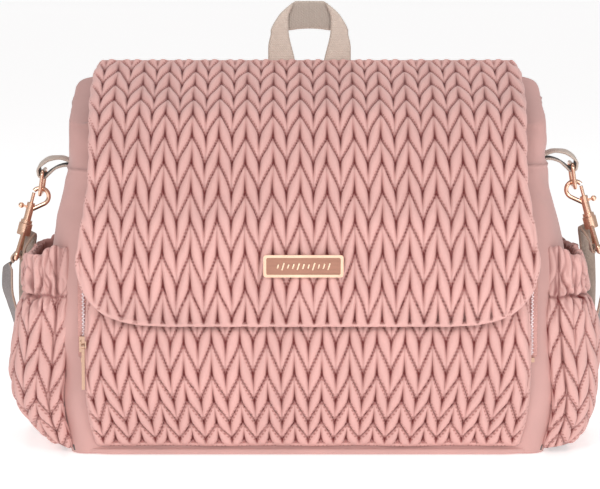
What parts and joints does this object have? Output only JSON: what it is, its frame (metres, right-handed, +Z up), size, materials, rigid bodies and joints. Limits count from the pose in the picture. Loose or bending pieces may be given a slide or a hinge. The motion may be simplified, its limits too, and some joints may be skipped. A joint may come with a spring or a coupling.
{
  "type": "diaper bag",
  "caption": "Padded quilted flap bag on a flat base with open side pockets, zipped front pocket, grab handle and clip-on shoulder strap.",
  "frame": {"origin": "middle of the flat base, on the surface the bag stands on", "axes": "+Z up, -Y out of the front where the flap and its label are, +X to the right as seen from the front"},
  "size_m": [0.431, 0.1718, 0.3125],
  "materials": {
    "shell": "woven, slight sheen",
    "quilt": "quilted, slight sheen",
    "elastic": "gathered",
    "lining": "plain woven",
    "padding": "foam backed",
    "board": "matt",
    "trim": "bound edge",
    "zip_tape": "woven tape",
    "zip_coil": "moulded coil",
    "hardware": "polished, rose gold",
    "label_metal": "brushed, rose gold",
    "magnet": "plain",
    "webbing": "ribbed webbing",
    "strap": "ribbed webbing"
  },
  "bodies": {
    "bag": {"front_panel": "shell", "back_panel": "shell", "left_gusset": "shell", "right_gusset": "shell", "base_panel": "shell", "left_side_pocket": "shell", "right_side_pocket": "shell", "left_pocket_ruffle": "shell", "right_pocket_ruffle": "shell", "flap_hinge_strip": "shell", "front_pocket": "quilt", "left_pocket_elastic": "elastic", "right_pocket_elastic": "elastic", "lining": "lining", "front_padding": "padding", "back_padding": "padding", "base_board": "board", "base_piping": "trim", "mouth_binding_front": "trim", "mouth_binding_rear": "trim", "front_zip_tape": "zip_tape", "front_zip_coil": "zip_coil", "left_zip_stop": "hardware", "right_zip_stop": "hardware", "left_swivel_eye": "hardware", "right_swivel_eye": "hardware", "pocket_magnet": "magnet", "left_ring_tab": "webbing", "right_ring_tab": "webbing", "left_handle_foot": "webbing", "right_handle_foot": "webbing", "shoulder_strap": "strap", "strap_tail": "strap"},
    "flap_top": {"flap_top": "quilt", "flap_top_lining": "lining"},
    "flap_front": {"flap_front": "quilt", "flap_front_lining": "lining", "flap_magnet": "magnet", "label_plate": "label_metal", "label_inlay": "label_metal"},
    "handle": {"carry_handle": "webbing"},
    "left_ring": {"left_ring": "hardware"},
    "right_ring": {"right_ring": "hardware"},
    "left_hook": {"left_hook": "hardware"},
    "right_hook": {"right_hook": "hardware"},
    "left_bolt": {"left_bolt": "hardware"},
    "right_bolt": {"right_bolt": "hardware"},
    "zip_slider": {"front_zip_slider": "hardware"},
    "zip_pull": {"front_zip_pull": "hardware"},
    "adjuster": {"strap_adjuster": "hardware"}
  },
  "joints": [
    {"name": "flap_open", "type": "hinge", "parent": "bag", "child": "flap_top", "pos_m": [0, 0.061, 0.2705], "axis": [-1, 0, 0], "range_deg": [0, 105]},
    {"name": "flap_fold", "type": "hinge", "parent": "flap_top", "child": "flap_front", "pos_m": [0, -0.018, 0.241], "axis": [-1, 0, 0], "range_deg": [0, 90]},
    {"name": "handle_fold", "type": "hinge", "parent": "bag", "child": "handle", "pos_m": [0.0016, 0.0652, 0.2628], "axis": [-1, 0, 0], "range_deg": [0, 100], "stiffness_Nm_per_rad": 0.02},
    {"name": "left_ring_swing", "type": "hinge", "parent": "bag", "child": "left_ring", "pos_m": [-0.1902, 0.02, 0.1922], "axis": [0, 1, 0], "range_deg": [-4, 4]},
    {"name": "left_hook_swivel", "type": "hinge", "parent": "bag", "child": "left_hook", "pos_m": [-0.21031, 0.02, 0.12889], "axis": [0.2588, 0, 0.9659], "range_deg": [-10, 10]},
    {"name": "left_bolt_slide", "type": "slide", "parent": "left_hook", "child": "left_bolt", "axis": [-0.2588, 0, -0.9659], "range_m": [0, 0.0055], "stiffness_N_per_m": 300, "springref_m": -0.004},
    {"name": "right_ring_swing", "type": "hinge", "parent": "bag", "child": "right_ring", "pos_m": [0.1902, 0.02, 0.1972], "axis": [0, 1, 0], "range_deg": [-4, 4]},
    {"name": "right_hook_swivel", "type": "hinge", "parent": "bag", "child": "right_hook", "pos_m": [0.21031, 0.02, 0.13389], "axis": [-0.2588, 0, 0.9659], "range_deg": [-10, 10]},
    {"name": "right_bolt_slide", "type": "slide", "parent": "right_hook", "child": "right_bolt", "axis": [0.2588, 0, -0.9659], "range_m": [0, 0.0055], "stiffness_N_per_m": 300, "springref_m": -0.004},
    {"name": "front_zip_slide", "type": "slide", "parent": "bag", "child": "zip_slider", "axis": [0, 0, 1], "range_m": [0, 0.05]},
    {"name": "zip_pull_swing", "type": "hinge", "parent": "zip_slider", "child": "zip_pull", "pos_m": [-0.1557, -0.0733, 0.0782], "axis": [-1, 0, 0], "range_deg": [0, 100]},
    {"name": "adjuster_slide", "type": "slide", "parent": "bag", "child": "adjuster", "axis": [1, 0, 0], "range_m": [0, 0.15]}
  ]
}
